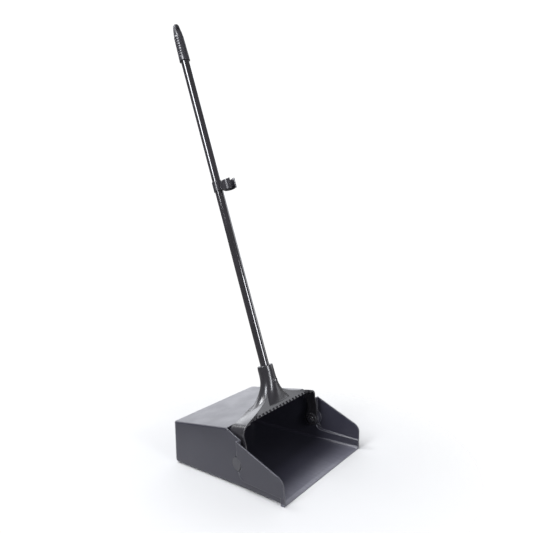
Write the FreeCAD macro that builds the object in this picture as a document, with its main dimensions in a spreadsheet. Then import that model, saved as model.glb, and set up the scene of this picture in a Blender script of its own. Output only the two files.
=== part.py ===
import FreeCAD, Part
import Sketcher
import math
import os
from FreeCAD import Placement, Rotation, Vector

# Upright lobby dust pan: a hooded bin with flared wings, a yoke that swings on two side pins,
# a steel tube handle with a ribbed grip and a snap clip that parks the broom.
# Frame in millimetres: origin at the centre of the underside, +Z up, mouth toward -Y, width along X.

SIZES = {
    # pan shell
    "half_depth": 151.5,        # lip to rear wall, halved
    "rear_half": 139.3,         # half width of the bin at the rear wall
    "body_half": 142.5,         # half width of the bin where the wings start
    "lip_half": 149.0,          # half width of the lower side strip at the lip
    "wing_back": -39.0,         # y where the wings start
    "wing_back_low": 148.8,     # half width of the wings at their lower rear corner
    "wing_lip_low": 150.9,      # half width of the wings at the foot of the mouth
    "wing_draft": 0.06,         # outward lean of the wings per millimetre of height
    "ledge_back": 20.0,         # height of the wing's lower edge at the back
    "ledge_lip": 15.0,          # the same at the mouth
    "foot_depth": 8.0,          # thick foot of each wing at the mouth
    "wall": 2.5,                # moulded wall and floor
    "deck_front": -4.0,         # y of the front edge of the deck
    "deck_front_top": 116.0,
    "deck_rear_top": 93.5,
    "mouth_top": 51.0,          # height of the wing line at the lip before rounding
    "tall": 140.0,              # construction height above everything moulded
    "lip_thick": 1.0,
    "lip_ramp": 9.0,
    # side pivots
    "pivot_y": -34.0,
    "pivot_z": 50.5,
    "pin_radius": 4.0,
    "running_gap": 0.05,
    "head_radius": 13.7,
    "head_front": 150.2,        # the pin head slopes from here down to the bin side
    "head_rear": 143.4,
    "relief_radius": 15.3,
    "relief_floor": 142.0,
    "boss_radius": 18.0,
    "boss_inner": 136.0,
    "boss_outer": 149.4,
    # yoke
    "yoke_half": 135.5,         # outside half width of the yoke arms
    "yoke_wall": 3.5,
    "deck_gap": 0.4,            # yoke rests this far above the deck
    "comb_y": -44.5,
    "strap_back": -9.0,
    "hub_radius": 16.5,
    "hub_inner": 128.5,
    "hub_spacer": 135.8,
    "brow_rise": 5.0,           # the front edge of the hood curls up by this much
    "brow_half": 112.0,
    "slot_width": 7.2,          # gaps between the comb teeth
    "slot_depth": 3.6,
    "slot_rise": 4.4,
    "tooth_pitch": 12.3,
    "slot_count": 18,
    # handle line
    "lean": 17.3,              # degrees back from the vertical at rest
    "rim_y": 2.0,               # centre of the socket rim
    "rim_z": 209.3,
    "neck_depth": 88.0,
    "tube_radius": 10.0,
    "tube_wall": 0.8,
    "tube_sunk": 60.0,          # length of tube inside the socket
    "tube_length": 832.0,
    "screw_drop": 35.5,         # screw height below the socket rim
    # grip
    "grip_start": 717.0,
    "grip_collar": 12.0,
    "rib_pitch": 6.0,
    "rib_count": 8,
    "grip_length": 89.7,
    # broom clip
    "clip_start": 403.0,
    "clip_height": 22.5,
    "collar_radius": 11.7,
    "jaw_drop": 5.8,            # the jaw sits this far below the collar
    "jaw_offset": 31.5,
    "jaw_radius": 13.0,
    "jaw_bore": 11.0,
}

doc = FreeCAD.newDocument("LobbyDustPan")
sheet = doc.addObject("Spreadsheet::Sheet", "Dims")
for row, (name, value) in enumerate(SIZES.items(), start=1):
    sheet.set(f"A{row}", name)
    sheet.set(f"B{row}", str(value))
    sheet.setAlias(f"B{row}", name)
doc.recompute()


def size(name):
    return float(SIZES[name])


def add_body(name):
    body = doc.addObject("PartDesign::Body", name)
    body.Label = name
    return body


def origin_plane(body, role):
    return next(f for f in body.Origin.OriginFeatures if f.Role == role)


def add_sketch(body, name, role, offset=None):
    """A sketch on one origin plane; offset is an expression along the plane's normal."""
    sketch = body.newObject("Sketcher::SketchObject", name)
    sketch.AttachmentSupport = (origin_plane(body, role), [""])
    sketch.MapMode = "FlatFace"
    if offset is not None:
        sketch.setExpression("AttachmentOffset.Base.z", offset)
    doc.recompute()
    return sketch


def draw_outline(sketch, corners):
    """A closed outline whose corners are pairs of expressions measured from the origin."""
    count = len(corners)
    first = sketch.GeometryCount
    ring = [
        Vector(50 * math.cos(2 * math.pi * i / count), 50 * math.sin(2 * math.pi * i / count), 0)
        for i in range(count)
    ]
    for i in range(count):
        sketch.addGeometry(Part.LineSegment(ring[i], ring[(i + 1) % count]), False)
    for i in range(count):
        line = first + i
        sketch.addConstraint(Sketcher.Constraint("Coincident", line, 2, first + (i + 1) % count, 1))
        for axis, kind in enumerate(("DistanceX", "DistanceY")):
            at = ring[i][axis]
            index = sketch.addConstraint(Sketcher.Constraint(kind, -1, 1, line, 1, at))
            sketch.setExpression(f"Constraints[{index}]", corners[i][axis])


def draw_circle(sketch, centre, radius):
    line = sketch.addGeometry(Part.Circle(Vector(5, 5, 0), Vector(0, 0, 1), 5), False)
    for axis, kind in enumerate(("DistanceX", "DistanceY")):
        index = sketch.addConstraint(Sketcher.Constraint(kind, -1, 1, line, 3, 5))
        sketch.setExpression(f"Constraints[{index}]", centre[axis])
    index = sketch.addConstraint(Sketcher.Constraint("Radius", line, 5))
    sketch.setExpression(f"Constraints[{index}]", radius)


def extrude(body, kind, name, sketch, length=None, both=False, reverse=False):
    """A Pad or a Pocket; with no length it runs through everything, both ways when asked."""
    feature = body.newObject(f"PartDesign::{kind}", name)
    feature.Profile = sketch
    if length is None:
        feature.Type = "ThroughAll"
    else:
        feature.setExpression("Length", length)
    if both:
        feature.SideType = "Symmetric"
    feature.Reversed = reverse
    sketch.Visibility = False
    doc.recompute()
    return feature


def edges_where(feature, test):
    """Names of the edges whose middle point and end points pass the test."""
    names = []
    for number, edge in enumerate(feature.Shape.Edges, start=1):
        box = edge.BoundBox
        if test(edge, box):
            names.append(f"Edge{number}")
    return names


def round_edges(body, name, base, radius, test):
    fillet = body.newObject("PartDesign::Fillet", name)
    fillet.Base = (base, edges_where(base, test))
    fillet.Radius = radius
    doc.recompute()
    return fillet


def near(value, target, slack=0.05):
    return abs(value - target) < slack


def flat_at(low, high, target):
    return near(low, target) and near(high, target)


# heights of the deck line and the wing line as expressions of y, and the flare per millimetre
FLARE = "((Dims.lip_half - Dims.body_half) / (Dims.half_depth + Dims.wing_back))"
DECK_SLOPE = "((Dims.deck_front_top - Dims.deck_rear_top) / (Dims.half_depth - Dims.deck_front))"
REAR_TAPER = "((Dims.body_half - Dims.rear_half) / (Dims.half_depth - Dims.wing_back))"
WING_SLOPE = "((Dims.deck_front_top - Dims.mouth_top) / (Dims.deck_front + Dims.half_depth))"


def deck_at(y):
    return f"(Dims.deck_front_top - {DECK_SLOPE} * (({y}) - Dims.deck_front))"


def hood_under(y):
    return f"({deck_at(y)} + Dims.deck_gap)"


def hood_top(y):
    return f"({deck_at(y)} + Dims.deck_gap + Dims.yoke_wall)"


# ---------------------------------------------------------------- pan shell
pan = add_body("pan_shell")

plan = add_sketch(pan, "pan_plan", "XY_Plane")
draw_outline(plan, [
    ("-Dims.lip_half", "-Dims.half_depth"),
    ("Dims.lip_half", "-Dims.half_depth"),
    ("Dims.body_half", "Dims.wing_back"),
    ("Dims.rear_half", "Dims.half_depth"),
    ("-Dims.rear_half", "Dims.half_depth"),
    ("-Dims.body_half", "Dims.wing_back"),
])
block = extrude(pan, "Pad", "pan_block", plan, "Dims.tall")
corners = round_edges(
    pan, "rear_corners", block, 8,
    lambda e, b: flat_at(b.YMin, b.YMax, size("half_depth")) and b.ZLength > 50,
)
skirt = round_edges(
    pan, "bottom_edges", corners, 8.5,
    lambda e, b: flat_at(b.ZMin, b.ZMax, 0) and b.YMax > -size("half_depth") + 1,
)


def wing_section(body, name, sign, y, inner, low, ledge, lift, grow):
    """One cross section of a wing: lower edge, drafted outer face and a straight inner side."""
    draft = f"Dims.wing_draft * (Dims.tall + {grow} - {ledge})"
    sketch = add_sketch(body, name, "XZ_Plane", f"-({y})")
    draw_outline(sketch, [
        (f"{sign}({inner})", f"{ledge} + {lift} - Dims.wall"),
        (f"{sign}({low})", f"{ledge} + {lift}"),
        (f"{sign}({low} + {draft})", f"Dims.tall + {grow}"),
        (f"{sign}({inner})", f"Dims.tall + {grow}"),
    ])
    sketch.Visibility = False
    return sketch


def wing_loft(body, name, sign, back, front):
    sections = [
        wing_section(body, f"{name}_back", sign, *back),
        wing_section(body, f"{name}_front", sign, *front),
    ]
    loft = body.newObject("PartDesign::AdditiveLoft", name)
    loft.Profile = sections[0]
    loft.Sections = sections[1:]
    loft.Ruled = True
    doc.recompute()
    return loft


# wings: drafted panels outside the flared lower strips, square at the back until rounded
for label, sign in (("right", ""), ("left", "-")):
    wings = wing_loft(
        pan, f"wing_{label}", sign,
        ("Dims.wing_back", "Dims.body_half - 1", "Dims.wing_back_low", "Dims.ledge_back", "0", "0"),
        ("-Dims.half_depth", "Dims.lip_half - 1", "Dims.wing_lip_low", "Dims.ledge_lip", "0", "0"),
    )
wings = round_edges(
    pan, "wing_corners", wings, 20,
    lambda e, b: flat_at(b.YMin, b.YMax, size("wing_back")) and b.ZMax < size("ledge_back") + 1 and b.ZMin > 15,
)
foot_plan = add_sketch(pan, "foot_plan", "XY_Plane")
for sign in ("", "-"):
    draw_outline(foot_plan, [
        (f"{sign}(Dims.lip_half - 12)", "-Dims.half_depth"),
        (f"{sign}(Dims.wing_lip_low)", "-Dims.half_depth"),
        (f"{sign}(Dims.wing_lip_low)", "-Dims.half_depth + Dims.foot_depth"),
        (f"{sign}(Dims.lip_half - 12)", "-Dims.half_depth + Dims.foot_depth"),
    ])
feet = extrude(pan, "Pad", "wing_feet", foot_plan, "Dims.ledge_lip + 1")

# deck line and wing line
above = add_sketch(pan, "above_lines", "YZ_Plane")
draw_outline(above, [
    ("-Dims.half_depth - 10", f"Dims.mouth_top - {WING_SLOPE} * 10"),
    ("Dims.deck_front", "Dims.deck_front_top"),
    ("Dims.half_depth + 10", f"Dims.deck_rear_top - {DECK_SLOPE} * 10"),
    ("Dims.half_depth + 10", "Dims.tall + 10"),
    ("-Dims.half_depth - 10", "Dims.tall + 10"),
])
trimmed = extrude(pan, "Pocket", "trim_top", above, None, both=True)
nose = round_edges(
    pan, "wing_noses", trimmed, 20,
    lambda e, b: flat_at(b.YMin, b.YMax, -size("half_depth"))
    and flat_at(b.ZMin, b.ZMax, size("mouth_top")),
)
deck_edges = round_edges(
    pan, "deck_edges", nose, 3.5,
    lambda e, b: b.ZMin > size("deck_rear_top") - 3 and b.YMax > size("half_depth") - 9
    and b.ZLength < 25,
)

# inside of the bin, open to the front and open above the wings
inside = add_body("bin_inside")
inside_plan = add_sketch(inside, "inside_plan", "XY_Plane", "Dims.wall")
draw_outline(inside_plan, [
    (f"-(Dims.lip_half - Dims.wall + {FLARE} * 5)", "-Dims.half_depth - 5"),
    (f"Dims.lip_half - Dims.wall + {FLARE} * 5", "-Dims.half_depth - 5"),
    ("Dims.body_half - Dims.wall", "Dims.wing_back"),
    ("Dims.rear_half - Dims.wall", "Dims.half_depth - Dims.wall"),
    ("-(Dims.rear_half - Dims.wall)", "Dims.half_depth - Dims.wall"),
    ("-(Dims.body_half - Dims.wall)", "Dims.wing_back"),
])
inside_block = extrude(inside, "Pad", "inside_block", inside_plan, "Dims.tall")
inside_corners = round_edges(
    inside, "inside_corners", inside_block, 5.5,
    lambda e, b: flat_at(b.YMin, b.YMax, size("half_depth") - size("wall")) and b.ZLength > 50,
)
round_edges(
    inside, "floor_edges", inside_corners, 6,
    lambda e, b: flat_at(b.ZMin, b.ZMax, size("wall")) and b.YMax > -size("half_depth") - 4,
)
under_deck = add_sketch(inside, "under_deck", "YZ_Plane")
draw_outline(under_deck, [
    ("Dims.deck_front", "Dims.deck_front_top - Dims.wall"),
    ("Dims.half_depth + 10", f"{deck_at('Dims.half_depth + 10')} - Dims.wall"),
    ("Dims.half_depth + 10", "Dims.tall + 10"),
    ("Dims.deck_front", "Dims.tall + 10"),
])
extrude(inside, "Pocket", "keep_deck", under_deck, None, both=True)

# each wing is a single wall, hollow on the inside above a sloped ledge
hollow_tools = [inside]
for label, sign in (("right", ""), ("left", "-")):
    recess = add_body(f"recess_{label}")
    block = wing_loft(
        recess, f"recess_{label}_loft", sign,
        ("Dims.wing_back - Dims.wall", "Dims.body_half - Dims.wall - 2",
         "Dims.wing_back_low - Dims.wall", "Dims.ledge_back", "5.5", "10"),
        ("-Dims.half_depth - 5", "Dims.lip_half - Dims.wall - 2",
         "Dims.wing_lip_low - Dims.wall", "Dims.ledge_lip", "5.5", "10"),
    )
    round_edges(
        recess, f"recess_{label}_corner", block, 17,
        lambda e, b: flat_at(b.YMin, b.YMax, size("wing_back") - size("wall"))
        and b.ZMax < size("ledge_back") + 7,
    )
    hollow_tools.append(recess)
hollow = pan.newObject("PartDesign::Boolean", "hollow")
hollow.Type = "Cut"
hollow.setObjects(hollow_tools)
doc.recompute()

# pivots: a filled boss inside each wing, trimmed flush behind it, a round relief and a pin hole
for label, sign in (("right", ""), ("left", "-")):
    inward = sign == ""
    boss_plan = add_sketch(pan, f"pivot_boss_{label}_sketch", "YZ_Plane", f"{sign}Dims.boss_inner")
    draw_circle(boss_plan, ("Dims.pivot_y", "Dims.pivot_z"), "Dims.boss_radius")
    extrude(
        pan, "Pad", f"pivot_boss_{label}", boss_plan, "Dims.boss_outer - Dims.boss_inner",
        reverse=not inward,
    )
    behind = add_sketch(pan, f"behind_wing_{label}_sketch", "XY_Plane")
    draw_outline(behind, [
        (f"{sign}Dims.body_half", "Dims.wing_back"),
        (f"{sign}(Dims.body_half + 20)", "Dims.wing_back"),
        (f"{sign}(Dims.body_half + 20)", "0"),
        (f"{sign}(Dims.body_half + {REAR_TAPER} * Dims.wing_back)", "0"),
    ])
    extrude(pan, "Pocket", f"behind_wing_{label}", behind, None, both=True)
    relief = add_sketch(pan, f"pivot_relief_{label}_sketch", "YZ_Plane", f"{sign}Dims.relief_floor")
    draw_circle(relief, ("Dims.pivot_y", "Dims.pivot_z"), "Dims.relief_radius")
    extrude(pan, "Pocket", f"pivot_relief_{label}", relief, "30", reverse=inward)
pin_sketch = add_sketch(pan, "pin_holes_sketch", "YZ_Plane")
draw_circle(pin_sketch, ("Dims.pivot_y", "Dims.pivot_z"), "Dims.pin_radius")
pin_holes = extrude(pan, "Pocket", "pin_holes", pin_sketch, None, both=True)

lip_sketch = add_sketch(pan, "lip_sketch", "YZ_Plane")
draw_outline(lip_sketch, [
    ("-Dims.half_depth - 1", "Dims.lip_thick"),
    ("-Dims.half_depth", "Dims.lip_thick"),
    ("-Dims.half_depth + Dims.lip_ramp", "Dims.wall"),
    ("-Dims.half_depth + Dims.lip_ramp", "Dims.wall + 1"),
    ("-Dims.half_depth - 1", "Dims.wall + 1"),
])
extrude(pan, "Pocket", "lip_ramp_cut", lip_sketch, "2 * (Dims.lip_half - Dims.wall - 5)", both=True)

# ---------------------------------------------------------------- hinge pins and their retainers
PIN_PROFILE = [
    ("0", "Dims.hub_inner - 4"),
    ("Dims.pin_radius - 0.5", "Dims.hub_inner - 4"),
    ("Dims.pin_radius - 0.5", "Dims.hub_inner - 0.4"),
    ("Dims.pin_radius", "Dims.hub_inner - 0.4"),
    ("Dims.pin_radius", "Dims.relief_floor"),
    ("Dims.head_radius", "Dims.relief_floor"),
    ("Dims.head_radius", "Dims.head_front + 1"),
    ("0", "Dims.head_front + 1"),
]
RETAINER_PROFILE = [
    ("Dims.pin_radius - 0.5", "Dims.hub_inner - 2.4"),
    ("Dims.pin_radius + 4", "Dims.hub_inner - 2.4"),
    ("Dims.pin_radius + 4", "Dims.hub_inner - 0.4"),
    ("Dims.pin_radius - 0.5", "Dims.hub_inner - 0.4"),
]


def revolve(body, name, profile):
    """A full turn of a profile given as radius and height pairs about the body's Z axis."""
    sketch = add_sketch(body, f"{name}_profile", "XZ_Plane")
    draw_outline(sketch, profile)
    feature = body.newObject("PartDesign::Revolution", name)
    feature.Profile = sketch
    feature.ReferenceAxis = (sketch, ["V_Axis"])
    feature.Angle = 360
    sketch.Visibility = False
    doc.recompute()
    return feature


def on_pivot(body, turn):
    """Lay the body's Z axis along the pivot line, heads outward."""
    body.Placement = Placement(Vector(0, size("pivot_y"), size("pivot_z")), Rotation(Vector(0, 1, 0), turn))
    body.setExpression("Placement.Base.y", "Dims.pivot_y")
    body.setExpression("Placement.Base.z", "Dims.pivot_z")


hinge_parts = []
for label, turn in (("right", 90), ("left", -90)):
    for prefix, profile in (("hinge_pin", PIN_PROFILE), ("pin_retainer", RETAINER_PROFILE)):
        body = add_body(f"{prefix}_{label}")
        revolve(body, f"{prefix}_{label}_turned", profile)
        if prefix == "hinge_pin":
            slope = add_sketch(body, f"head_slope_{label}", "YZ_Plane")
            draw_outline(slope, [
                ("-Dims.head_radius - 0.1", "Dims.head_front"),
                ("Dims.head_radius + 0.1", "Dims.head_rear"),
                ("Dims.head_radius + 0.1", "Dims.head_front + 5"),
                ("-Dims.head_radius - 0.1", "Dims.head_front + 5"),
            ])
            extrude(body, "Pocket", f"head_face_{label}", slope, None, both=True)
        on_pivot(body, turn)
        hinge_parts.append(body)

# ---------------------------------------------------------------- yoke: arms and hood band
band = add_body("yoke_band")
side = add_sketch(band, "yoke_side", "YZ_Plane")
draw_outline(side, [
    ("Dims.pivot_y - Dims.hub_radius", "Dims.pivot_z"),
    ("Dims.pivot_y + Dims.hub_radius", "Dims.pivot_z"),
    ("Dims.pivot_y + 8", "Dims.pivot_z + 25"),
    ("Dims.strap_back - 14", "Dims.deck_front_top - 21"),
    ("Dims.strap_back", "Dims.deck_front_top - 4"),
    ("Dims.strap_back", hood_top("Dims.strap_back")),
    ("Dims.comb_y", hood_top("Dims.comb_y")),
    ("Dims.comb_y + 1", "Dims.deck_front_top - 10"),
    ("Dims.comb_y - 5", "Dims.pivot_z + 36"),
])
extrude(band, "Pad", "strap_block", side, "2 * Dims.yoke_half", both=True)
hub_sketch = add_sketch(band, "hub_sketch", "YZ_Plane")
draw_circle(hub_sketch, ("Dims.pivot_y", "Dims.pivot_z"), "Dims.hub_radius")
hub_block = extrude(band, "Pad", "hub_block", hub_sketch, "2 * Dims.yoke_half", both=True)
shoulders = round_edges(
    band, "shoulder_edges", hub_block, 17,
    lambda e, b: near(abs(b.Center.x), size("yoke_half"))
    and b.ZMin > size("deck_front_top") + 2 and b.YLength > 20,
)
arch_tool = add_body("arch_tool")
below = add_sketch(arch_tool, "below_hood", "YZ_Plane")
draw_outline(below, [
    ("-90", hood_under("-90")),
    ("60", hood_under("60")),
    ("60", "0"),
    ("-90", "0"),
])
arch_block = extrude(arch_tool, "Pad", "arch_block", below, "2 * (Dims.yoke_half - Dims.yoke_wall)", both=True)
round_edges(
    arch_tool, "arch_corners", arch_block, 13.5,
    lambda e, b: near(abs(b.Center.x), size("yoke_half") - size("yoke_wall"))
    and b.ZMin > size("deck_front_top") - 20 and b.YLength > 100,
)
arch = band.newObject("PartDesign::Boolean", "arch_opening")
arch.Type = "Cut"
arch.setObjects([arch_tool])
doc.recompute()
for label, sign in (("right", ""), ("left", "-")):
    for part, start, length, radius in (
        ("hub_face", "Dims.hub_inner", "Dims.yoke_half - Dims.hub_inner", "14"),
        ("hub_spacer", "Dims.yoke_half", "Dims.hub_spacer - Dims.yoke_half", "12"),
    ):
        disc = add_sketch(band, f"{part}_{label}_sketch", "YZ_Plane", f"{sign}{start}")
        draw_circle(disc, ("Dims.pivot_y", "Dims.pivot_z"), radius)
        extrude(band, "Pad", f"{part}_{label}", disc, length, reverse=sign == "-")
hub_bore = add_sketch(band, "hub_bore_sketch", "YZ_Plane")
draw_circle(hub_bore, ("Dims.pivot_y", "Dims.pivot_z"), "Dims.pin_radius + Dims.running_gap")
extrude(band, "Pocket", "hub_bores", hub_bore, None, both=True)

# ---------------------------------------------------------------- yoke: web that rises to the neck
# half of the web stations: x, ridge y, ridge height over the band, rear edge y
WEB_STATIONS = [
    (0, -18, 42, 32), (38, -27.5, 26, 23), (75, -37.5, 14, 8),
    (100, -42.5, 7.5, -2), (114, -43.5, 3, -6.5), (124, -44, -0.6, -8.7),
]
CAVITY_STATIONS = [(0, -14, 16, 26), (34, -20, 9, 18), (62, -26, 3, 6)]


def loft_across(body, name, stations, corners_at):
    """A loft along X through mirrored side sections."""
    mirrored = [(-x, *rest) for x, *rest in reversed(stations[1:])] + stations
    sections = []
    for number, (x, *rest) in enumerate(mirrored):
        sketch = add_sketch(body, f"{name}_section_{number}", "YZ_Plane", str(x))
        draw_outline(sketch, corners_at(*rest))
        sketch.Visibility = False
        sections.append(sketch)
    loft = body.newObject("PartDesign::AdditiveLoft", name)
    loft.Profile = sections[0]
    loft.Sections = sections[1:]
    doc.recompute()
    return loft


def web_corners(ridge_y, rise, rear_y):
    return [
        ("Dims.comb_y", hood_under("Dims.comb_y") + " - 3"),
        ("Dims.comb_y", f"{hood_top('Dims.comb_y')} + {min(rise, 0)}"),
        (str(ridge_y), f"{hood_top(ridge_y)} + {rise}"),
        (str(rear_y), f"{hood_under(rear_y)} + 1.8"),
        (str(rear_y), f"{hood_under(rear_y)} - 3"),
    ]


def cavity_corners(ridge_y, rise, rear_y):
    front = "(Dims.comb_y + Dims.yoke_wall)"
    return [
        (front, hood_under(front) + " - 4"),
        (front, hood_under(front)),
        (str(ridge_y), f"{hood_under(ridge_y)} + {rise}"),
        (str(rear_y - 5), hood_under(rear_y - 5)),
        (str(rear_y - 5), f"{hood_under(rear_y - 5)} - 4"),
    ]


web = add_body("yoke_web")
loft_across(web, "web_loft", WEB_STATIONS, web_corners)
cavity = add_body("yoke_cavity")
loft_across(cavity, "cavity_loft", CAVITY_STATIONS, cavity_corners)

# neck: ellipses along the handle line, from the round socket rim down to the broad foot
# each is distance below the rim, half width, half depth, shift toward the rear
NECK_ELLIPSES = [
    (0, 17.0, 17.0, 0.0),
    (26, 18.2, 18.0, 0.5),
    (44, 22.5, 20.0, 2.0),
    (58, 31.0, 23.5, 4.5),
    (70, 44.0, 27.0, 7.0),
    (82, 66.0, 31.0, 10.0),
]
ellipses = []
for number, (drop, half_width, half_depth, shift) in enumerate(NECK_ELLIPSES):
    ring = doc.addObject("Part::Ellipse", f"neck_ring_{number}")
    ring.MajorRadius = half_width
    ring.MinorRadius = half_depth
    ring.Placement = Placement(Vector(0, 0, 0), Rotation(Vector(1, 0, 0), -size("lean")))
    ring.setExpression("Placement.Base.y", f"Dims.rim_y - {drop} * sin(Dims.lean) + {shift} * cos(Dims.lean)")
    ring.setExpression("Placement.Base.z", f"Dims.rim_z - {drop} * cos(Dims.lean) - {shift} * sin(Dims.lean)")
    ellipses.append(ring)
neck = doc.addObject("Part::Loft", "yoke_neck")
neck.Sections = ellipses
neck.Solid = True
neck.Ruled = False
doc.recompute()


def on_handle(body):
    """Stand the body's Z axis on the socket rim, leaning back with the handle."""
    body.Placement = Placement(Vector(0, size("rim_y"), size("rim_z")), Rotation(Vector(1, 0, 0), -size("lean")))
    body.setExpression("Placement.Base.y", "Dims.rim_y")
    body.setExpression("Placement.Base.z", "Dims.rim_z")


# screw boss on the front of the neck, socket bore and screw hole
boss = add_body("screw_boss")
boss_sketch = add_sketch(boss, "boss_sketch", "XZ_Plane", "12")
draw_circle(boss_sketch, ("0", "-Dims.screw_drop"), "5.5")
extrude(boss, "Pad", "boss_round", boss_sketch, "8")
on_handle(boss)
bore = add_body("socket_bore")
bore_sketch = add_sketch(bore, "bore_sketch", "XY_Plane", "-Dims.tube_sunk")
draw_circle(bore_sketch, ("0", "0"), "Dims.tube_radius")
extrude(bore, "Pad", "bore_round", bore_sketch, "Dims.tube_sunk + 5")
for name, start, length, radius in (
    ("screw_way", "5", "20", "2"),
    ("screw_seat", "17", "5", "4"),
):
    way = add_sketch(bore, f"{name}_sketch", "XZ_Plane", start)
    draw_circle(way, ("0", "-Dims.screw_drop"), radius)
    extrude(bore, "Pad", name, way, length)
on_handle(bore)

# broom comb: slots along the lower front edge, cut by a rake whose bar stays clear in front
rake = add_body("comb_rake")
bar_sketch = add_sketch(rake, "bar_sketch", "YZ_Plane")
draw_outline(bar_sketch, [
    ("Dims.comb_y - 6", "Dims.deck_front_top"),
    ("Dims.comb_y - 2", "Dims.deck_front_top"),
    ("Dims.comb_y - 2", "Dims.deck_front_top + 12"),
    ("Dims.comb_y - 6", "Dims.deck_front_top + 12"),
])
extrude(rake, "Pad", "rake_bar", bar_sketch, "Dims.tooth_pitch * Dims.slot_count", both=True)
slot_sketch = add_sketch(rake, "slot_sketch", "YZ_Plane", "-Dims.tooth_pitch * (Dims.slot_count - 1) / 2")
draw_outline(slot_sketch, [
    ("Dims.comb_y - 3", f"{hood_under('Dims.comb_y')} - 2"),
    ("Dims.comb_y + Dims.slot_depth", f"{hood_under('Dims.comb_y')} - 2"),
    ("Dims.comb_y + Dims.slot_depth", f"{hood_top('Dims.comb_y')} + Dims.slot_rise"),
    ("Dims.comb_y - 3", f"{hood_top('Dims.comb_y')} + Dims.slot_rise"),
])
rake_tooth = extrude(rake, "Pad", "rake_tooth", slot_sketch, "Dims.slot_width", both=True)
slots = rake.newObject("PartDesign::LinearPattern", "slots")
slots.Originals = [rake_tooth]
slots.Direction = (origin_plane(rake, "X_Axis"), [""])
slots.setExpression("Length", "Dims.tooth_pitch * (Dims.slot_count - 1)")
slots.setExpression("Occurrences", "Dims.slot_count")
rake.Tip = slots
doc.recompute()

# the underside of the front edge slopes up so that the comb stands clear of the mouth
brow = add_body("brow_tool")
brow_sketch = add_sketch(brow, "brow_sketch", "YZ_Plane")
draw_outline(brow_sketch, [
    ("Dims.comb_y - 9", f"{hood_under('Dims.comb_y')} - 6"),
    ("Dims.comb_y - 9", f"{hood_under('Dims.comb_y')} + 2 * Dims.brow_rise"),
    ("Dims.comb_y + 9", hood_under("Dims.comb_y + 9")),
    ("Dims.comb_y + 9", f"{hood_under('Dims.comb_y')} - 6"),
])
extrude(brow, "Pad", "brow_block", brow_sketch, "2 * Dims.brow_half", both=True)

under = add_body("under_hood")
under_sketch = add_sketch(under, "under_sketch", "YZ_Plane")
draw_outline(under_sketch, [
    ("-90", hood_under("-90")),
    ("90", hood_under("90")),
    ("90", "60"),
    ("-90", "60"),
])
extrude(under, "Pad", "under_block", under_sketch, "320", both=True)
doc.recompute()


def combine(kind, name, shapes):
    result = doc.addObject(kind, name)
    if kind == "Part::Cut":
        result.Base, result.Tool = shapes
    else:
        result.Shapes = shapes
    doc.recompute()
    return result


raised = combine("Part::MultiFuse", "raised_parts", [neck, web, boss])
seated = combine("Part::Cut", "raised_seated", [raised, under])
joined = combine("Part::MultiFuse", "yoke_joined", [seated, band])
lightened = combine("Part::Cut", "yoke_lightened", [joined, cavity])
browed = combine("Part::Cut", "yoke_browed", [lightened, brow])
combed = combine("Part::Cut", "yoke_combed", [browed, rake])
yoke = combine("Part::Cut", "yoke_hood", [combed, bore])

# ---------------------------------------------------------------- handle
tube = add_body("handle_tube")
tube_sketch = add_sketch(tube, "tube_sketch", "XY_Plane", "-Dims.tube_sunk")
draw_circle(tube_sketch, ("0", "0"), "Dims.tube_radius")
draw_circle(tube_sketch, ("0", "0"), "Dims.tube_radius - Dims.tube_wall")
extrude(tube, "Pad", "tube_pad", tube_sketch, "Dims.tube_length")
tube_hole = add_sketch(tube, "tube_hole_sketch", "XZ_Plane", "2")
draw_circle(tube_hole, ("0", "-Dims.screw_drop"), "2")
extrude(tube, "Pocket", "tube_hole", tube_hole, "20", reverse=True)
on_handle(tube)

plug = add_body("tube_plug")
revolve(plug, "plug_turned", [
    ("0", "-Dims.tube_sunk + 1"),
    ("Dims.tube_radius - Dims.tube_wall - 1", "-Dims.tube_sunk + 1"),
    ("Dims.tube_radius - Dims.tube_wall", "-Dims.tube_sunk + 3"),
    ("Dims.tube_radius - Dims.tube_wall", "-Dims.screw_drop + 14"),
    ("0", "-Dims.screw_drop + 14"),
])
pilot = add_sketch(plug, "pilot_sketch", "XZ_Plane", "2")
draw_circle(pilot, ("0", "-Dims.screw_drop"), "1.6")
extrude(plug, "Pocket", "pilot", pilot, "20", reverse=True)
on_handle(plug)

screw = add_body("socket_screw")
revolve(screw, "screw_turned", [
    ("0", "2.6"),
    ("1.6", "4.4"),
    ("1.6", "17"),
    ("3.5", "17"),
    ("3.5", "18.2"),
    ("2.4", "19.2"),
    ("0", "19.2"),
])
slot = add_sketch(screw, "slot_sketch", "XY_Plane", "18.2")
draw_outline(slot, [("-2", "-0.45"), ("2", "-0.45"), ("2", "0.45"), ("-2", "0.45")])
cross = add_sketch(screw, "cross_sketch", "XY_Plane", "18.2")
draw_outline(cross, [("-0.45", "-2"), ("0.45", "-2"), ("0.45", "2"), ("-0.45", "2")])
extrude(screw, "Pocket", "slot", slot, "5", reverse=True)
extrude(screw, "Pocket", "cross", cross, "5", reverse=True)
lean = Rotation(Vector(1, 0, 0), -size("lean"))
screw_from_rim = lean.multVec(Vector(0, 0, -size("screw_drop")))
screw.Placement = Placement(
    Vector(0, size("rim_y"), size("rim_z")) + screw_from_rim,
    lean.multiply(Rotation(Vector(1, 0, 0), 90)),
)

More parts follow.
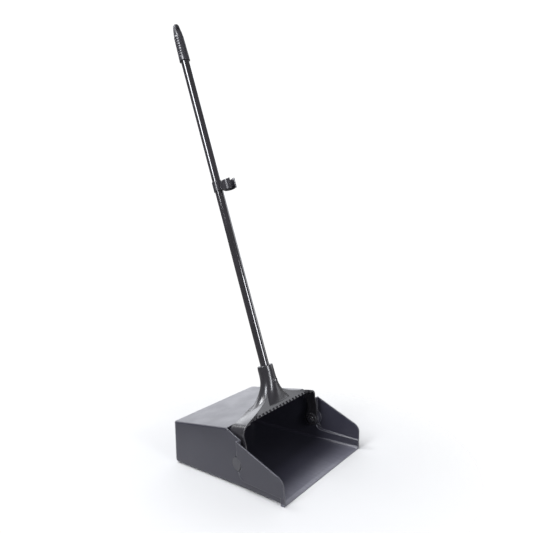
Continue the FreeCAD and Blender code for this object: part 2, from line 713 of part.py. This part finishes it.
# ---------------------------------------------------------------- hand grip
grip = add_body("hand_grip")
profile = [
    ("0", "Dims.grip_start + 62"),
    ("Dims.tube_radius", "Dims.grip_start + 62"),
    ("Dims.tube_radius", "Dims.grip_start"),
    ("12.1", "Dims.grip_start"),
    ("12.5", "Dims.grip_start + 0.6"),
    ("12.4", "Dims.grip_start + Dims.grip_collar - 1"),
    ("11.6", "Dims.grip_start + Dims.grip_collar"),
]
for rib in range(SIZES["rib_count"]):
    foot = f"Dims.grip_start + Dims.grip_collar + {rib} * Dims.rib_pitch"
    crest = 12.1 - 0.12 * rib
    valley = crest - 0.9
    profile += [
        (f"{valley:.2f}", f"{foot} + 0.9"),
        (f"{valley:.2f}", f"{foot} + 1.6"),
        (f"{crest:.2f}", f"{foot} + 2.4"),
        (f"{crest:.2f}", f"{foot} + Dims.rib_pitch - 0.8"),
    ]
profile += [
    ("10.6", "Dims.grip_start + Dims.grip_collar + Dims.rib_count * Dims.rib_pitch + 0.6"),
    ("10.3", "Dims.grip_start + Dims.grip_length - 24"),
    ("9.4", "Dims.grip_start + Dims.grip_length - 15"),
    ("8.2", "Dims.grip_start + Dims.grip_length - 8"),
    ("6.9", "Dims.grip_start + Dims.grip_length - 2.5"),
    ("5.2", "Dims.grip_start + Dims.grip_length - 0.5"),
    ("4.0", "Dims.grip_start + Dims.grip_length"),
    ("0", "Dims.grip_start + Dims.grip_length"),
]
revolve(grip, "grip_turned", profile)
for label, low, high in (("front", "-20", "-4.6"), ("back", "4.6", "20")):
    flat = add_sketch(grip, f"flat_{label}_sketch", "YZ_Plane")
    draw_outline(flat, [
        (low, "Dims.grip_start + Dims.grip_length - 20"),
        (high, "Dims.grip_start + Dims.grip_length - 20"),
        (high, "Dims.grip_start + Dims.grip_length + 5"),
        (low, "Dims.grip_start + Dims.grip_length + 5"),
    ])
    extrude(grip, "Pocket", f"flat_{label}", flat, None, both=True)
hang = add_sketch(grip, "hang_sketch", "XZ_Plane")
draw_circle(hang, ("0", "Dims.grip_start + Dims.grip_length - 10"), "3")
extrude(grip, "Pocket", "hang_hole", hang, None, both=True)
on_handle(grip)

# ---------------------------------------------------------------- broom clip
clip = add_body("broom_clip")
clip_plan = add_sketch(clip, "collar_sketch", "XY_Plane", "Dims.clip_start")
draw_circle(clip_plan, ("0", "0"), "Dims.collar_radius")
extrude(clip, "Pad", "collar", clip_plan, "Dims.clip_height")
jaw_plan = add_sketch(clip, "jaw_sketch", "XY_Plane", "Dims.clip_start - Dims.jaw_drop")
draw_circle(jaw_plan, ("0", "-Dims.jaw_offset"), "Dims.jaw_radius")
extrude(clip, "Pad", "jaw", jaw_plan, "Dims.clip_height")
bridge = add_sketch(clip, "bridge_sketch", "YZ_Plane")
draw_outline(bridge, [
    ("-8", "Dims.clip_start + 1"),
    ("-8", "Dims.clip_start + Dims.clip_height - 4"),
    ("-Dims.jaw_offset + 8", "Dims.clip_start + Dims.clip_height - Dims.jaw_drop - 1.5"),
    ("-Dims.jaw_offset + 8", "Dims.clip_start - Dims.jaw_drop + 4"),
])
extrude(clip, "Pad", "bridge_web", bridge, "9", both=True)
for label, sign in (("right", ""), ("left", "-")):
    lip = add_sketch(clip, f"jaw_lip_{label}_sketch", "XY_Plane", "Dims.clip_start - Dims.jaw_drop")
    draw_outline(lip, [
        (f"{sign}5.6", "-Dims.jaw_offset - 9.4"),
        (f"{sign}8.6", "-Dims.jaw_offset - 9.4"),
        (f"{sign}10.2", "-Dims.jaw_offset - 13.1"),
        (f"{sign}8.0", "-Dims.jaw_offset - 13.9"),
    ])
    extrude(clip, "Pad", f"jaw_lip_{label}", lip, "Dims.clip_height")
throats = add_sketch(clip, "throat_sketch", "XY_Plane", "Dims.clip_start - Dims.jaw_drop - 1")
draw_outline(throats, [
    ("-5", "-Dims.jaw_offset"),
    ("5", "-Dims.jaw_offset"),
    ("6.1", "-Dims.jaw_offset - 9.6"),
    ("8", "-Dims.jaw_offset - 14"),
    ("8", "-Dims.jaw_offset - 20"),
    ("-8", "-Dims.jaw_offset - 20"),
    ("-8", "-Dims.jaw_offset - 14"),
    ("-6.1", "-Dims.jaw_offset - 9.6"),
])
extrude(clip, "Pocket", "throat_cut", throats, "Dims.clip_height + 2", reverse=True)
jaw_bore = add_sketch(clip, "jaw_bore_sketch", "XY_Plane", "Dims.clip_start - Dims.jaw_drop - 1")
draw_circle(jaw_bore, ("0", "-Dims.jaw_offset"), "Dims.jaw_bore")
extrude(clip, "Pocket", "jaw_bore_cut", jaw_bore, "Dims.clip_height + 2", reverse=True)
collar_bore = add_sketch(clip, "collar_bore_sketch", "XY_Plane", "Dims.clip_start - 1")
draw_circle(collar_bore, ("0", "0"), "Dims.tube_radius + Dims.running_gap")
extrude(clip, "Pocket", "collar_bore_cut", collar_bore, "Dims.clip_height + 2", reverse=True)
on_handle(clip)
doc.recompute()

# ---------------------------------------------------------------- checks and export
for item in doc.Objects:
    if "Invalid" in item.State or "Error" in item.State:
        raise RuntimeError(f"{item.Name} failed to compute")
nodes = [pan, *hinge_parts, yoke, screw, tube, plug, grip, clip]
os.makedirs("parts", exist_ok=True)
for node in nodes:
    if node.Shape.isNull() or not node.Shape.isValid():
        raise RuntimeError(f"{node.Label} has no valid shape")
    node.Shape.exportStep(f"parts/{node.Label}.step")
    box = node.Shape.BoundBox
    print(
        f"{node.Label}: {len(node.Shape.Solids)} solid, {node.Shape.Volume / 1000:.2f} cm3, "
        f"y {box.YMin:.1f}..{box.YMax:.1f}, z {box.ZMin:.1f}..{box.ZMax:.1f}"
    )
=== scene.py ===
import math

import bpy
from mathutils import Matrix, Vector

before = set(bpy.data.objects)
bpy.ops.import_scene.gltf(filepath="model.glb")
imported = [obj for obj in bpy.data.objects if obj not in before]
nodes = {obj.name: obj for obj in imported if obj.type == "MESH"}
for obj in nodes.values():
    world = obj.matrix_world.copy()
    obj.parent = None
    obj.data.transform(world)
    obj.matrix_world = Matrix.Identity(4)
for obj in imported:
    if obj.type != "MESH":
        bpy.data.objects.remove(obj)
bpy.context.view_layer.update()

scene = bpy.context.scene

# ---------------------------------------------------------------- camera
CAMERA_AT = (-0.9252, -0.7034, 0.5605)  # metres
CAMERA_YAW = 53.07  # degrees clockwise from +Y
CAMERA_PITCH = -6.45
CAMERA_ROLL = -1.13
LENS = 36.5  # millimetres
SENSOR = 36.0
CLIP_NEAR, CLIP_FAR = 0.05, 40.0
LEVEL = 90.0  # a camera with no rotation looks straight down

camera_data = bpy.data.cameras.new("camera")
camera_data.lens = LENS
camera_data.sensor_width = SENSOR
camera_data.clip_start = CLIP_NEAR
camera_data.clip_end = CLIP_FAR
camera = bpy.data.objects.new("camera", camera_data)
scene.collection.objects.link(camera)
camera.matrix_world = (
    Matrix.Translation(CAMERA_AT)
    @ Matrix.Rotation(math.radians(-CAMERA_YAW), 4, "Z")
    @ Matrix.Rotation(math.radians(LEVEL + CAMERA_PITCH), 4, "X")
    @ Matrix.Rotation(math.radians(CAMERA_ROLL), 4, "Z")
)
scene.camera = camera
scene.view_settings.view_transform = "Standard"

# ---------------------------------------------------------------- node helpers
# sockets of the Mix node that carry colours
MIX_FACTOR, MIX_A, MIX_B, MIX_RESULT = 0, 6, 7, 2
BEVEL_SAMPLES = 6


class Graph:
    """A small helper that adds linked shader nodes to one material."""

    def __init__(self, name):
        self.material = bpy.data.materials.new(name)
        self.material.use_nodes = True
        self.tree = self.material.node_tree
        self.shader = self.tree.nodes["Principled BSDF"]
        self.place = self.add("ShaderNodeTexCoord").outputs["Object"]

    def add(self, kind, **inputs):
        node = self.tree.nodes.new(kind)
        for name, value in inputs.items():
            self.feed(node.inputs[name.replace("_", " ")], value)
        return node

    def feed(self, socket, value):
        """Link a socket to another one, or set it to a constant."""
        if isinstance(value, bpy.types.NodeSocket):
            self.tree.links.new(value, socket)
        else:
            socket.default_value = value

    def shade(self, **inputs):
        for name, value in inputs.items():
            self.feed(self.shader.inputs[name.replace("_", " ")], value)

    def noise(self, scale, detail=2.0, rough=0.5, place=None):
        node = self.add("ShaderNodeTexNoise", Scale=scale, Detail=detail, Roughness=rough)
        self.feed(node.inputs["Vector"], place or self.place)
        return node.outputs["Fac"]

    def stretched(self, x, y, z):
        """Object coordinates scaled by axis: a larger number packs the pattern tighter."""
        node = self.add("ShaderNodeMapping", Vector=self.place)
        node.inputs["Scale"].default_value = (x, y, z)
        return node.outputs["Vector"]

    def remap(self, value, low, high, to_low, to_high):
        """A smooth step from to_low to to_high while value goes from low to high."""
        node = self.add("ShaderNodeMapRange")
        node.interpolation_type = "SMOOTHSTEP"
        for index, number in enumerate((value, low, high, to_low, to_high)):
            self.feed(node.inputs[index], number)
        return node.outputs["Result"]

    def math(self, kind, a, b):
        node = self.add("ShaderNodeMath")
        node.operation = kind
        self.feed(node.inputs[0], a)
        self.feed(node.inputs[1], b)
        return node.outputs[0]

    def blend(self, factor, a, b):
        node = self.add("ShaderNodeMix")
        node.data_type = "RGBA"
        self.feed(node.inputs[MIX_FACTOR], factor)
        self.feed(node.inputs[MIX_A], a)
        self.feed(node.inputs[MIX_B], b)
        return node.outputs[MIX_RESULT]

    def relief(self, height, depth, under=None):
        node = self.add("ShaderNodeBump", Distance=depth, Height=height)
        if under is not None:
            self.feed(node.inputs["Normal"], under)
        return node.outputs["Normal"]

    def soft_edges(self, radius):
        node = self.add("ShaderNodeBevel", Radius=radius)
        node.samples = BEVEL_SAMPLES
        return node.outputs["Normal"]

    def edges(self, radius, turned, flat):
        """1 along edges, 0 elsewhere: how far the rounded normal turns from the true one.

        turned and flat are the cosines of that turn which count as edge and as no edge.
        """
        rounded = self.soft_edges(radius)
        geometry = self.add("ShaderNodeNewGeometry")
        dot = self.add("ShaderNodeVectorMath")
        dot.operation = "DOT_PRODUCT"
        self.feed(dot.inputs[0], rounded)
        self.feed(dot.inputs[1], geometry.outputs["Normal"])
        return self.remap(dot.outputs["Value"], turned, flat, 1.0, 0.0)


def colour(red, green, blue):
    return (red, green, blue, 1.0)


def grey(level):
    return colour(level, level, level)


# ---------------------------------------------------------------- materials
PLASTIC_IOR = 1.6
GRAIN_DEPTH = 0.00004  # metres
GRAIN_SCALE = 1500.0  # noise cells per metre, as every noise scale here
EDGE_RADIUS = 0.0008
WAVE_SCALE = 14.0
WAVE_DEPTH = 0.0003

SCUFF_COLOUR = colour(0.13, 0.13, 0.14)
SCUFF_ROUGHNESS = 0.25
# painted reflection: the bin floor is painted paler toward the lip, from full at PALE_FRONT to
# nothing at PALE_REAR, and only up to PALE_TOP above the ground
PAINTED_REFLECTION_COLOUR = colour(0.13, 0.13, 0.16)
PALE_FRONT, PALE_REAR = -0.15, -0.085
PALE_FULL, PALE_TOP = 0.003, 0.006
PALE_LEAST, PALE_MOST = 0.55, 0.8

# painted highlight: edges are painted paler than the faces beside them
EDGE_HIGHLIGHT_COLOUR = colour(0.3, 0.3, 0.33)
EDGE_HIGHLIGHT_RADIUS = 0.0016
EDGE_HIGHLIGHT_TURNED, EDGE_HIGHLIGHT_FLAT = 0.9, 0.995
EDGE_HIGHLIGHT_PATCHY = 0.6  # the painted edge highlight in the weakest patches, as a share of the strongest


def scuffed(g, body, roughness, amount):
    """Short pale scuffs all over."""
    streak = g.noise(60.0, 6.0, 0.65, g.stretched(1.0, 9.0, 5.0))
    marks = g.remap(streak, 0.62, 0.74, 0.0, amount)
    body = g.blend(marks, body, SCUFF_COLOUR)
    return body, g.math("ADD", roughness, g.math("MULTIPLY", marks, SCUFF_ROUGHNESS))


def painted_reflection_toward_lip(g, body):
    """Painted reflection: a paler zone with fore-and-aft streaks along the bin floor near the
    lip.
    """
    axes = g.add("ShaderNodeSeparateXYZ", Vector=g.place).outputs
    zone = g.math(
        "MULTIPLY",
        g.remap(axes["Y"], PALE_FRONT, PALE_REAR, 1.0, 0.0),
        g.remap(axes["Z"], PALE_FULL, PALE_TOP, 1.0, 0.0),
    )
    streaks = g.noise(35.0, 6.0, 0.6, g.stretched(6.0, 0.7, 1.0))
    zone = g.math("MULTIPLY", zone, g.remap(streaks, 0.3, 0.7, PALE_LEAST, PALE_MOST))
    return g.blend(zone, body, PAINTED_REFLECTION_COLOUR)


def painted_edge_highlights(g, body, patch, amount):
    """Painted highlight: edges a little paler than the faces beside them, more in some patches
    than in others.
    """
    highlight_mask = g.math(
        "MULTIPLY",
        g.edges(EDGE_HIGHLIGHT_RADIUS, EDGE_HIGHLIGHT_TURNED, EDGE_HIGHLIGHT_FLAT),
        g.remap(patch, 0.3, 0.6, EDGE_HIGHLIGHT_PATCHY * amount, amount),
    )
    return g.blend(highlight_mask, body, EDGE_HIGHLIGHT_COLOUR)


def moulded(name, base, tint, rough, grain=GRAIN_DEPTH, grain_scale=GRAIN_SCALE,
            edge=EDGE_RADIUS, scuff_and_lip_reflection=0.0, rub_and_edge_highlight=0.0):
    """Moulded plastic: a fine spark-eroded grain, slow colour drift and soft edges.

    The scuff amount adds scuffs and turns on the painted reflection near the lip; the rub amount
    paints a highlight along the edges.
    """
    g = Graph(name)
    drift = g.noise(9.0, 3.0)
    body = g.blend(g.remap(drift, 0.3, 0.7, 0.0, 1.0), base, tint)
    patch = g.noise(26.0, 4.0)
    roughness = g.remap(patch, 0.25, 0.75, rough - 0.04, rough + 0.05)
    if scuff_and_lip_reflection > 0:
        body, roughness = scuffed(g, body, roughness, scuff_and_lip_reflection)
        # painted reflection on the bin floor near the lip
        body = painted_reflection_toward_lip(g, body)
    if rub_and_edge_highlight > 0:
        # painted highlight along the edges
        body = painted_edge_highlights(g, body, patch, rub_and_edge_highlight)
    normal = g.relief(g.noise(grain_scale), grain, g.soft_edges(edge))
    normal = g.relief(g.noise(WAVE_SCALE, 1.0), WAVE_DEPTH, normal)
    g.shade(Base_Color=body, Roughness=roughness, Normal=normal, IOR=PLASTIC_IOR)
    return g.material


def coated_tube(name):
    """Gloss black enamel on steel: faint waves along the tube, orange peel and fine rubbed marks.
    """
    g = Graph(name)
    # fine marks worn into the enamel, part of its own colour
    rub_and_edge_highlight = g.remap(g.noise(90.0, 5.0, 0.6, g.stretched(3.0, 3.0, 0.4)), 0.6, 0.75, 0.0, 1.0)
    enamel = g.blend(
        g.remap(g.noise(18.0, 4.0), 0.35, 0.65, 0.0, 1.0),
        colour(0.012, 0.011, 0.014), colour(0.018, 0.016, 0.021),
    )
    rub_colour = colour(0.08, 0.08, 0.085)
    smooth = g.remap(g.noise(45.0, 3.0), 0.3, 0.7, 0.11, 0.16)
    peel = g.relief(g.noise(260.0, 1.0), 0.000012)
    wave = g.noise(30.0, 2.0, 0.5, g.stretched(1.0, 1.0, 0.08))
    g.shade(
        Base_Color=g.blend(g.math("MULTIPLY", rub_and_edge_highlight, 0.15), enamel, rub_colour),
        Roughness=g.math("ADD", smooth, g.math("MULTIPLY", rub_and_edge_highlight, 0.08)),
        Normal=g.relief(wave, 0.00012, peel),
        IOR=1.65,
        Coat_Weight=0.8,
        Coat_Roughness=0.06,
    )
    return g.material


def zinc(name):
    """Zinc-plated steel with a faint brushed direction."""
    g = Graph(name)
    brushed = g.noise(700.0, 3.0, 0.6, g.stretched(1.0, 6.0, 1.0))
    g.shade(
        Base_Color=g.blend(brushed, colour(0.42, 0.42, 0.43), colour(0.6, 0.6, 0.61)),
        Roughness=g.remap(brushed, 0.3, 0.7, 0.28, 0.42),
        Normal=g.relief(brushed, 0.00002, g.soft_edges(0.0002)),
        Metallic=1.0,
    )
    return g.material


pan_plastic = moulded(
    "pan_plastic", colour(0.025, 0.0245, 0.036), colour(0.029, 0.0285, 0.041), 0.34,
    # scuff also turns on the painted reflection near the lip; rub sets the painted highlight
    # along the edges
    grain=0.00003, edge=0.0022, scuff_and_lip_reflection=0.2, rub_and_edge_highlight=0.5,
)
pin_plastic = moulded(
    "pin_plastic", colour(0.024, 0.0235, 0.031), colour(0.028, 0.027, 0.035), 0.36,
    edge=0.0006,
)
yoke_plastic = moulded(
    "yoke_plastic", colour(0.021, 0.02, 0.024), colour(0.026, 0.025, 0.029), 0.22,
    # rub sets the painted highlight along the edges
    grain=0.00001, grain_scale=1100.0, edge=0.0016, rub_and_edge_highlight=0.25,
)
grip_plastic = moulded(
    "grip_plastic", colour(0.026, 0.025, 0.031), colour(0.032, 0.031, 0.037), 0.27,
    grain=0.000008, grain_scale=900.0, edge=0.0006,
)
clip_plastic = moulded(
    "clip_plastic", colour(0.022, 0.021, 0.026), colour(0.028, 0.027, 0.032), 0.22,
    grain=0.000008, grain_scale=1300.0, edge=0.0009,
)
plug_plastic = moulded("plug_plastic", grey(0.18), grey(0.22), 0.5, edge=0.0004)
tube_coat = coated_tube("tube_coat")
zinc_steel = zinc("zinc_steel")

MATERIAL_OF = {
    "pan_shell": pan_plastic,
    "yoke_hood": yoke_plastic,
    "hinge_pin_right": pin_plastic,
    "hinge_pin_left": pin_plastic,
    "pin_retainer_right": zinc_steel,
    "pin_retainer_left": zinc_steel,
    "socket_screw": zinc_steel,
    "handle_tube": tube_coat,
    "tube_plug": plug_plastic,
    "hand_grip": grip_plastic,
    "broom_clip": clip_plastic,
}
for name, material in MATERIAL_OF.items():
    node = nodes[name]
    if not node.material_slots:
        node.data.materials.append(material)
    for slot in node.material_slots:
        slot.material = material

# ---------------------------------------------------------------- floor
FLOOR_HALF = 1.5  # metres
FLOOR_LEVEL = -0.0002
PAPER_SOLID, PAPER_GONE = 0.22, 0.62  # distances from the origin
PAPER_ROUGHNESS = 0.9

corners = ((-1, -1), (1, -1), (1, 1), (-1, 1))
floor_mesh = bpy.data.meshes.new("floor")
floor_mesh.from_pydata(
    [(x * FLOOR_HALF, y * FLOOR_HALF, FLOOR_LEVEL) for x, y in corners], [], [(0, 1, 2, 3)],
)
floor = bpy.data.objects.new("floor", floor_mesh)
scene.collection.objects.link(floor)

# the paper thins out away from the object, so the plain white behind it shows through
paper = Graph("floor_paper")
away = paper.add("ShaderNodeVectorMath")
away.operation = "LENGTH"
paper.feed(away.inputs[0], paper.place)
paper.shade(
    Base_Color=paper.blend(paper.noise(3.0), grey(0.52), grey(0.54)),
    Roughness=PAPER_ROUGHNESS,
    Alpha=paper.remap(away.outputs["Value"], PAPER_SOLID, PAPER_GONE, 1.0, 0.0),
)
floor_mesh.materials.append(paper.material)

# ---------------------------------------------------------------- lights
COOL = (0.93, 0.95, 1.0)
MIDDLE = (0.0, 0.0, 0.3)
# name, place, point it faces, width, height (metres), radiance
SOFTBOXES = (
    ("backdrop", (1.9, 1.5, 1.05), MIDDLE, 3.6, 2.1, 2.1),
    ("high_back", (-0.35, 1.3, 2.0), (0.0, -0.05, 0.0), 0.8, 0.6, 13.0),
    ("right_front", (1.7, -1.0, 0.9), (0.0, 0.0, 0.15), 1.3, 1.1, 2.0),
    ("strip_left", (-1.6, 0.2, 1.6), (0.0, 0.15, 0.7), 0.5, 1.3, 19.0),
    ("strip_front", (-0.4, -1.6, 0.75), (0.0, 0.03, 0.35), 0.35, 0.6, 20.0),
)
OVERHEAD_ENERGY = 1.6
OVERHEAD_SPREAD = 35  # degrees
OVERHEAD_TOWARD = (0.15, -0.55, -1.0)
# the sky is dimmer for lighting than the white the camera sees behind the object
SKY_LIGHTING, SKY_SEEN = 0.25, 1.05


def facing(direction):
    return Vector(direction).to_track_quat("-Z", "Y").to_euler()


for name, at, toward, width, height, radiance in SOFTBOXES:
    data = bpy.data.lights.new(name, "AREA")
    data.shape = "RECTANGLE"
    data.size = width
    data.size_y = height
    data.energy = radiance * math.pi * width * height
    data.color = COOL
    light = bpy.data.objects.new(name, data)
    scene.collection.objects.link(light)
    light.location = at
    light.rotation_euler = facing(Vector(toward) - Vector(at))
    light.visible_camera = False

sun_data = bpy.data.lights.new("overhead", "SUN")
sun_data.energy = OVERHEAD_ENERGY
sun_data.angle = math.radians(OVERHEAD_SPREAD)
sun = bpy.data.objects.new("overhead", sun_data)
scene.collection.objects.link(sun)
sun.rotation_euler = facing(OVERHEAD_TOWARD)

world = bpy.data.worlds.new("studio")
scene.world = world
world.use_nodes = True
sky = world.node_tree
background = sky.nodes["Background"]
background.inputs["Color"].default_value = grey(1.0)
seen = sky.nodes.new("ShaderNodeLightPath")
level = sky.nodes.new("ShaderNodeMapRange")
level.inputs["To Min"].default_value = SKY_LIGHTING
level.inputs["To Max"].default_value = SKY_SEEN
sky.links.new(seen.outputs["Is Camera Ray"], level.inputs["Value"])
sky.links.new(level.outputs["Result"], background.inputs["Strength"])
